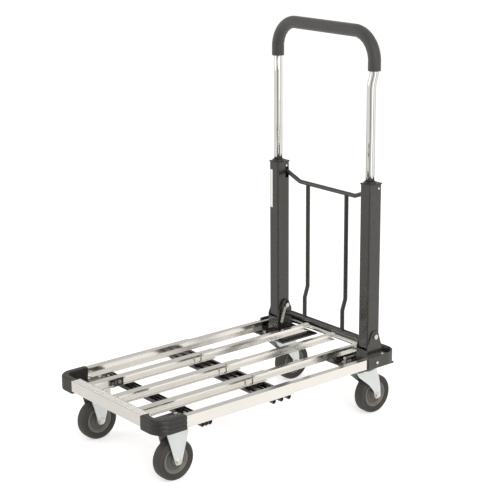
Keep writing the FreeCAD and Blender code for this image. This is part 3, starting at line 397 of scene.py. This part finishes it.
def buildWheels():
    rim = tyreSizes["rim"]
    for name in ("front_right", "front_left", "rear_right", "rear_left"):
        low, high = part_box("tyre_" + name)
        centre = (low + high) / 2
        half, outer = (high.x - low.x) / 2 / mm, (high.z - low.z) / 2 / mm
        tyre = turnProfile(tyreProfile(half, rim, outer), centre, tyreSizes["steps"])
        newPiece("tyre_%s_shape" % name, tyre, "tyre", "wheel_" + name, ["tyre_" + name])
        hub = turnProfile(hubProfile(half, rim), centre, hubSizes["steps"])
        piece = newPiece("hub_%s_shape" % name, hub, "hub", "wheel_" + name, ["hub_" + name])
        # dish faces between the boss and the shade radius take the darker finish: painted shade in the recess
        piece.data.materials.append(materials["hubDishPaintedShade"])
        for face in piece.data.polygons:
            away = math.hypot(*(face.center - centre).yz) / mm
            face.material_index = 1 if hubSizes["boss"] < away < hubSizes["shade"] else 0


buildWheels()
print("wheels built")


# straight runs joined by round bends, as points for a curve
def bentRoute(corners, bend, steps):
    route = [Vector(corners[0])]
    for before, corner, after, radius in zip(corners, corners[1:], corners[2:], bend):
        before, corner, after = Vector(before), Vector(corner), Vector(after)
        inward, outward = (before - corner).normalized(), (after - corner).normalized()
        half = inward.angle(outward) / 2
        middle = (inward + outward).normalized()
        centre = corner + middle * (radius / math.sin(half))
        start = (corner + inward * (radius / math.tan(half)) - centre).normalized()
        finish = (corner + outward * (radius / math.tan(half)) - centre).normalized()
        for step in range(steps + 1):
            route.append(centre + start.slerp(finish, step / steps) * radius)
    route.append(Vector(corners[-1]))
    return route


# a round bar or tube along a route, capped at both ends
def sweepRound(route, radius, around):
    curve = bpy.data.curves.new("route", "CURVE")
    curve.dimensions = "3D"
    curve.bevel_depth = radius
    curve.bevel_resolution = around // 4 - 1
    curve.use_fill_caps = True
    line = curve.splines.new("POLY")
    line.points.add(len(route) - 1)
    for point, place in zip(line.points, route):
        point.co = (*place, 1)
    carrier = bpy.data.objects.new("route", curve)
    bpy.context.scene.collection.objects.link(carrier)
    bpy.context.view_layer.update()
    mesh = bpy.data.meshes.new_from_object(carrier.evaluated_get(bpy.context.evaluated_depsgraph_get()))
    bpy.data.objects.remove(carrier)
    shell = bmesh.new()
    shell.from_mesh(mesh)
    bmesh.ops.remove_doubles(shell, verts=shell.verts, dist=mergeGap["swept"] * mm)
    bmesh.ops.recalc_face_normals(shell, faces=shell.faces)
    return shell


# the U of the handle, in metres: its feet stand in the posts, its top is the grip
handleSizes = {"foot": 0.470, "setLow": 0.846, "setHigh": 0.874, "out": 0.171, "wide": 0.176, "back": 0.296,
               "rear": 0.300, "top": 0.970, "bend": 0.068, "tube": 0.011, "gripRadius": 0.0158,
               "gripFoot": 0.880, "setBend": 0.09, "bendSteps": 16, "around": 48}
# the foam puckers inside each bend: pinch is how far, pinchDeep what it fades over, puckers how many a turn
foamSizes = {"pinch": 0.0007, "pinchDeep": 0.018, "puckers": 26, "spacing": 0.004, "bendSteps": 40,
             "around": 40, "endRound": 0.0018, "endSegments": 3, "endLimit": 50}


def buildHandle():
    use = handleSizes
    corners = [(-use["out"], use["back"], use["foot"]), (-use["out"], use["back"], use["setLow"]),
               (-use["wide"], use["rear"], use["setHigh"]), (-use["wide"], use["rear"], use["top"]),
               (use["wide"], use["rear"], use["top"]), (use["wide"], use["rear"], use["setHigh"]),
               (use["out"], use["back"], use["setLow"]), (use["out"], use["back"], use["foot"])]
    bends = [use["setBend"], use["setBend"], use["bend"], use["bend"], use["setBend"], use["setBend"]]
    tube = sweepRound(bentRoute(corners, bends, use["bendSteps"]), use["tube"], use["around"])
    newPiece("handle_tube_shape", tube, "chrome", "grip", ["handle_tube"])

    corners = [(-use["wide"], use["rear"], use["gripFoot"]), (-use["wide"], use["rear"], use["top"]),
               (use["wide"], use["rear"], use["top"]), (use["wide"], use["rear"], use["gripFoot"])]
    route = bentRoute(corners, [use["bend"], use["bend"]], foamSizes["bendSteps"])
    spaced = []  # the straight runs are divided too, so that the foam can pucker and swell
    for start, end in zip(route, route[1:]):
        parts = max(1, round((end - start).length / foamSizes["spacing"]))
        spaced += [start.lerp(end, step / parts) for step in range(parts)]
    foam = sweepRound(spaced + [route[-1]], use["gripRadius"], foamSizes["around"])
    bendMiddle = Vector((use["wide"] - use["bend"], use["rear"], use["top"] - use["bend"]))
    for point in foam.verts:
        away = Vector((abs(point.co.x), point.co.y, point.co.z)) - bendMiddle
        reach = math.hypot(away.x, away.z)
        onBend = away.x > 0 and away.z > 0
        depth = (reach - (use["bend"] - use["gripRadius"])) / foamSizes["pinchDeep"]
        squeezed = max(0.0, 1 - depth) if onBend else 0.0
        ripple = 0.5 - 0.5 * math.cos(math.atan2(away.z, away.x) * foamSizes["puckers"])
        direction = Vector((math.copysign(away.x, point.co.x), 0, away.z)).normalized()
        point.co += direction * (foamSizes["pinch"] * squeezed * ripple)
    piece = newPiece("foam_grip_shape", foam, "grip_foam", "grip", ["foam_grip"])
    roundEdges(piece, foamSizes["endRound"], foamSizes["endSegments"], foamSizes["endLimit"])


buildHandle()
print("handle built")


# the coil spring, in metres: top is its end toward the handle, bottom its end at the release arm; it is
# attached to no body
springSizes = {"wire": 0.0008, "coil": 0.0034, "turns": 18, "perTurn": 14, "around": 8,
               "top": (-0.1375, 0.293, 0.218), "bottom": (-0.1375, 0.277, 0.170), "hook": 0.004,
               "hookGap": 0.0006}


def buildSpring():
    use = springSizes
    top, bottom = Vector(use["top"]), Vector(use["bottom"])
    along = (bottom - top).normalized()
    across = Vector((1, 0, 0))
    third = along.cross(across)
    length = (bottom - top).length - 2 * use["hook"]
    count = use["turns"] * use["perTurn"]
    route = [top + along * use["hookGap"]]
    for step in range(count + 1):
        angle = math.tau * step / use["perTurn"]
        centre = top + along * (use["hook"] + length * step / count)
        route.append(centre + (across * math.cos(angle) + third * math.sin(angle)) * use["coil"])
    route.append(bottom - along * use["hookGap"])
    coil = sweepRound(route, use["wire"], use["around"])
    piece = newPiece("release_spring_coil", coil, "bolt_steel", None, ["release_spring"])
    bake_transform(piece)


buildSpring()
print("spring built")


# corner bumpers: a grooved section swept from the beam round the corner to the rail; sizes in mm
bumperSizes = {"wall": 18.0, "corner": 38.0, "groove": 1.5, "levels": (0.34, 0.64), "crown": 5.0, "foot": 2.0,
               "crownTurns": 7, "crownTurn": 15, "steps": 18, "round": 0.6, "roundSegments": 2,
               "roundLimit": 40}
# each groove's section: up from its level, part of its depth
grooveShape = ((-1.6, 0.0), (-0.7, 0.35), (0.0, 0.85), (0.8, 1.0), (1.6, 0.85), (2.3, 0.35), (3.2, 0.0))
toe = (0.6, 0.5)  # the rounded lower corner
topEdge = ((2.5, 0.0), (0.8, 0.6), (0.0, 2.2))  # in from the wall, down from the top


def bumperSection(tall):
    use = bumperSizes
    section = [(use["wall"], 0.0), (use["foot"], 0.0), toe, (0.0, use["foot"])]
    for level in use["levels"]:
        section += [(use["groove"] * cut, tall * level + rise) for rise, cut in grooveShape]
    for turn in range(use["crownTurns"]):
        angle = math.radians(turn * use["crownTurn"])
        section.append((use["crown"] - use["crown"] * math.cos(angle),
                        tall - use["crown"] + use["crown"] * math.sin(angle)))
    return section + [(use["wall"] - inward, tall - drop) for inward, drop in topEdge]


def buildBumpers():
    use = bumperSizes
    for side, sign in sides.items():
        low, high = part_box("corner_bumper_" + side)
        outer = max(abs(low.x), abs(high.x))
        inner = min(abs(low.x), abs(high.x))
        tall = (high.z - low.z) / mm
        corner = use["corner"] * mm
        shell = bmesh.new()
        points = [shell.verts.new((inner, low.y + depth * mm, low.z + level * mm))
                  for depth, level in bumperSection(tall)]
        face = shell.faces.new(points)
        moved = bmesh.ops.extrude_face_region(shell, geom=[face])["geom"]
        bmesh.ops.translate(shell, vec=(outer - corner - inner, 0, 0),
                            verts=[item for item in moved if isinstance(item, bmesh.types.BMVert)])
        ring = [item for item in moved if isinstance(item, bmesh.types.BMFace)]
        centre = Vector((outer - corner, low.y + corner, low.z))
        turned = bmesh.ops.spin(shell, geom=ring + [e for f in ring for e in f.edges] + list(ring[0].verts),
                                cent=centre, axis=(0, 0, 1), dvec=(0, 0, 0), angle=math.pi / 2,
                                steps=use["steps"], use_merge=False, use_duplicate=False)["geom_last"]
        last = [item for item in turned if isinstance(item, bmesh.types.BMFace)]
        moved = bmesh.ops.extrude_face_region(shell, geom=last)["geom"]
        bmesh.ops.translate(shell, vec=(0, high.y - (low.y + corner), 0),
                            verts=[item for item in moved if isinstance(item, bmesh.types.BMVert)])
        bmesh.ops.scale(shell, vec=(sign, 1, 1), verts=shell.verts)
        bmesh.ops.remove_doubles(shell, verts=shell.verts, dist=mergeGap["bumper"] * mm)
        inside = [f for f in shell.faces if all(len(e.link_faces) > 2 for e in f.edges)]
        bmesh.ops.delete(shell, geom=inside, context="FACES_ONLY")
        bmesh.ops.recalc_face_normals(shell, faces=shell.faces)
        name = "corner_bumper_" + side
        piece = newPiece(name + "_shape", shell, "bumper", "front_deck", [name])
        roundEdges(piece, use["round"] * mm, use["roundSegments"], use["roundLimit"])


buildBumpers()
print("bumpers built")

# edge rounding in metres for the parts that come over from the CAD, by the start of their names
edgeWidths = {
    "front_outer_rail": 0.0002, "rear_outer_rail": 0.0002, "front_inner_rail": 0.0002,
    "rear_inner_rail": 0.0002, "front_beam": 0.0006, "rear_crossbar": 0.0008, "rear_band": 0.0011,
    "rear_corner_plates": 0.0008, "foot_bracket": 0.0007, "pivot_bolts": 0.0006,
    "rear_caster_plates": 0.0009, "swivel_bearings": 0.0008, "kingpins": 0.0007,
    "rear_plate_bolts": 0.0007, "band_bolts": 0.0008, "stop_bolts": 0.0006,
    "middle_cross_plate": 0.0007, "front_cross_plate": 0.0007, "front_corner_plate": 0.0009,
    "front_forks": 0.0008, "front_axles": 0.0008, "front_plate_bolts": 0.0006, "guide_screws": 0.0004,
    "lock_block": 0.0008, "lock_button": 0.0006, "post_right": 0.0003, "post_left": 0.0003,
    "post_caps": 0.0009, "tube_guides": 0.0005, "cap_rivets": 0.0006, "blank_label": 0.0001,
    "tube_foot_guides": 0.0006, "wire_rack": 0.0006, "release_bar": 0.0006, "rear_fork": 0.0008,
    "rear_axle": 0.0008,
}
acrossGrain = ("front_beam", "rear_crossbar")  # these lie across the deck, and so does their grain


def dressRest():
    for node in sorted(frame["nodes"]):
        if frame["nodes"][node].hide_render:
            continue
        start = max((text for text in edgeWidths if node.startswith(text)), key=len)
        dressNode(node, edgeWidths[start], "aluAcross" if node in acrossGrain else slotOfNode[node])


dressRest()
print("CAD parts dressed")

# the floor in metres, the rest are brightness levels; behind is what the camera sees past the floor
studio = {"floor": 60.0, "floorGlow": 0.50, "paper": (0.93, 0.93, 0.93, 1), "paperRough": 0.9, "world": 0.96,
          "zenith": 0.55, "behind": (1.06, 1.06, 1.06, 1), "aim": (0, 0, 0.4)}
# disc lamps aimed at the cart: where, how strong in watts, how wide in metres, and their tint
lamps = {"key": ((3.2, -1.2, 2.4), 62.0, 3.0, (1, 0.98, 0.95)),
         "fill": ((-2.2, -2.8, 1.6), 16.0, 2.4, (0.98, 0.99, 1)),
         "over": ((0.2, 0.4, 3.2), 12.0, 3.4, (1, 1, 1))}
# the studio's walls, as (part of a turn, brightness): dark strips between bright panels
horizon = ((0.00, 0.86), (0.24, 0.88), (0.30, 0.60), (0.332, 0.16), (0.352, 0.12), (0.37, 0.70), (0.455, 0.78),
           (0.478, 1.9), (0.522, 1.9), (0.542, 0.24), (0.565, 0.22), (0.59, 1.14), (0.67, 1.14), (0.74, 0.72),
           (0.84, 0.60), (0.92, 0.66))
horizonTint = (1, 0.975, 0.935)


def buildStudio():
    shell = bmesh.new()
    bmesh.ops.create_grid(shell, x_segments=2, y_segments=2, size=studio["floor"])
    mesh = bpy.data.meshes.new("studioFloor")
    shell.to_mesh(mesh)
    shell.free()
    floor = bpy.data.objects.new("studioFloor", mesh)
    bpy.context.scene.collection.objects.link(floor)
    floor.visible_glossy = False
    paper = bpy.data.materials.new("palePaper")
    paper.use_nodes = True
    skin = paper.node_tree.nodes["Principled BSDF"]
    skin.inputs["Base Color"].default_value = studio["paper"]
    skin.inputs["Roughness"].default_value = studio["paperRough"]
    skin.inputs["Specular IOR Level"].default_value = 0.0
    skin.inputs["Emission Color"].default_value = (1, 1, 1, 1)
    skin.inputs["Emission Strength"].default_value = studio["floorGlow"]
    mesh.materials.append(paper)

    world = bpy.data.worlds.new("whiteStudio")
    bpy.context.scene.world = world
    world.use_nodes = True
    tree = world.node_tree
    tree.nodes.clear()
    place = addNode(tree, "TexCoord")
    around = addNode(tree, "TexGradient", gradient_type="RADIAL")
    bands = addNode(tree, "ValToRGB")
    ramp = bands.color_ramp
    for spot, level in horizon[1:-1]:
        ramp.elements.new(spot)
    for element, (spot, level) in zip(ramp.elements, horizon):
        element.position = spot
        element.color = (*(level * part for part in horizonTint), 1)
    rays = addNode(tree, "LightPath")
    pick = addNode(tree, "Mix", data_type="RGBA")
    pick.inputs[mixB].default_value = studio["behind"]
    height = addNode(tree, "SeparateXYZ")
    dimmer = addNode(tree, "MapRange", {"From Min": 0.35, "From Max": 0.95, "To Min": 1.0,
                                        "To Max": studio["zenith"]})
    softened = addNode(tree, "VectorMath", operation="SCALE")
    back = addNode(tree, "Background", {"Strength": studio["world"]})
    end = addNode(tree, "OutputWorld")
    wire(tree, place, "Generated", around, "Vector")
    wire(tree, around, "Color", bands, "Fac")
    wire(tree, place, "Generated", height, "Vector")
    wire(tree, height, "Z", dimmer, "Value")
    wire(tree, bands, "Color", softened, 0)
    wire(tree, dimmer, "Result", softened, "Scale")
    wire(tree, softened, "Vector", pick, mixA)
    wire(tree, rays, "Is Camera Ray", pick, mixFactor)
    wire(tree, pick, mixOut, back, "Color")
    wire(tree, back, "Background", end, "Surface")

    for name, (spot, power, wide, tint) in lamps.items():
        data = bpy.data.lights.new(name, "AREA")
        data.shape = "DISK"
        data.size = wide
        data.energy = power
        data.color = tint
        lamp = bpy.data.objects.new(name, data)
        bpy.context.scene.collection.objects.link(lamp)
        lamp.location = spot
        lamp.rotation_euler = (Vector(studio["aim"]) - lamp.location).to_track_quat("-Z", "Y").to_euler()


buildStudio()
bpy.context.scene.view_settings.view_transform = "Standard"

# the camera stands in front and to the right, a little above the handle
view = {"spot": (2.630, -2.0994, 1.4137), "right": (0.6371, 0.7708, -0.0059), "up": (-0.2013, 0.1737, 0.9640),
        "look": (-0.7441, 0.6129, -0.2658), "lens": 104.2, "sensor": 36, "shiftX": -0.0052, "shiftY": -0.0247}


def buildCamera():
    data = bpy.data.cameras.new("viewer")
    data.lens = view["lens"]
    data.sensor_width = view["sensor"]
    data.shift_x = view["shiftX"]
    data.shift_y = view["shiftY"]
    camera = bpy.data.objects.new("viewer", data)
    bpy.context.scene.collection.objects.link(camera)
    turn = Matrix((view["right"], view["up"], [-part for part in view["look"]])).transposed()
    camera.matrix_world = Matrix.Translation(view["spot"]) @ turn.to_4x4()
    bpy.context.scene.camera = camera


buildCamera()
print("studio built")
